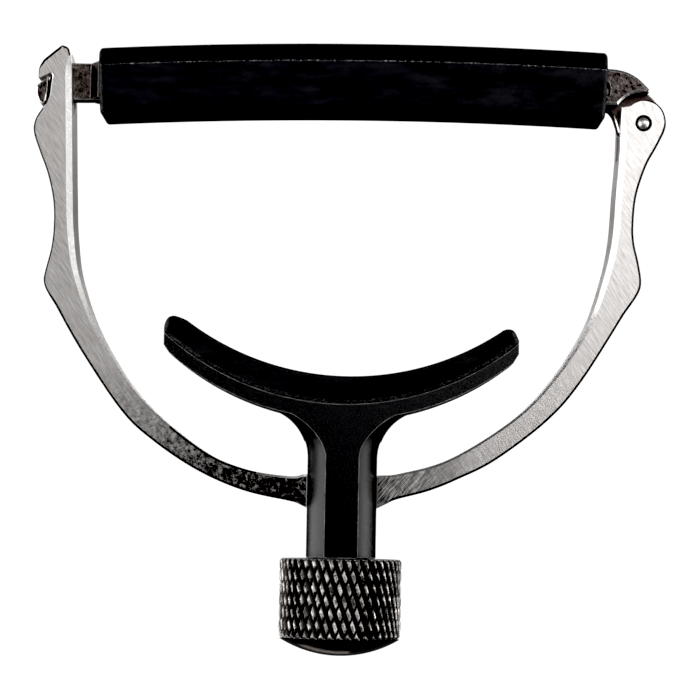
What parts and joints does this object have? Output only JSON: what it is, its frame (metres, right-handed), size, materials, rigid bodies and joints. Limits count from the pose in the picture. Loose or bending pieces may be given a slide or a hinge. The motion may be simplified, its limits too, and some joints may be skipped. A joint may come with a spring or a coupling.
{
  "type": "guitar capo",
  "caption": "Yoke-style neck clamp: U-shaped steel frame, rubber-sleeved swing bar that latches across the top, and a padded cradle raised by a knurled knob.",
  "frame": {"origin": "middle of the clamp opening, half way between the bar's underside and the pad's top, on the stem's axis", "axes": "+X across the neck from the latch towards the hinge, +Y along the neck, +Z from the neck's back to the strings"},
  "size_m": [0.0691, 0.0132, 0.0672],
  "materials": {
    "yoke_steel": "diagonally brushed stainless steel with polished edge bevels",
    "bright_steel": "bright turned steel",
    "bar_metal": "dark mottled cast and tumbled steel",
    "sleeve_rubber": "matte black moulded rubber",
    "pad_rubber": "matte black moulded rubber",
    "black_anodised": "satin black anodised, fine grain",
    "knob_black": "black anodised diamond knurl, worn bright on the points",
    "cap_black": "gloss black anodised",
    "brass": "turned brass"
  },
  "bodies": {
    "yoke": {"yoke_frame": "yoke_steel"},
    "pivot": {"pivot_pin": "bright_steel"},
    "bar": {"swing_bar": "bar_metal", "latch_pin": "bar_metal", "bar_sleeve": "sleeve_rubber"},
    "cradle": {"cradle_body": "black_anodised", "cradle_pad": "pad_rubber", "stem_plug": "brass"},
    "drive": {"adjusting_screw": "bright_steel", "screw_clip": "bright_steel", "thrust_washer": "brass", "spring_washer": "bright_steel", "knob": "knob_black", "knob_nut": "bright_steel", "knob_cap": "cap_black"}
  },
  "joints": [
    {"name": "bar_swing", "type": "hinge", "parent": "yoke", "child": "pivot", "pos_m": [0.0323, 0, 0.0141], "axis": [0, 1, 0], "range_deg": [0, 115]},
    {"name": "bar_release", "type": "slide", "parent": "pivot", "child": "bar", "axis": [-0.8387, 0, -0.5446], "range_m": [0, 0.00156]},
    {"name": "cradle_lift", "type": "slide", "parent": "yoke", "child": "cradle", "axis": [0, 0, 1], "range_m": [-0.0033, 0.0053]},
    {"name": "knob_turn", "type": "hinge", "parent": "cradle", "child": "drive", "pos_m": [0, 0, -0.038], "axis": [0, 0, 1], "range_deg": [-2340, 3780]}
  ],
  "couplings": [
    {"joint": "cradle_lift", "follows": "knob_turn", "m_per_rad": 0.000079577}
  ]
}
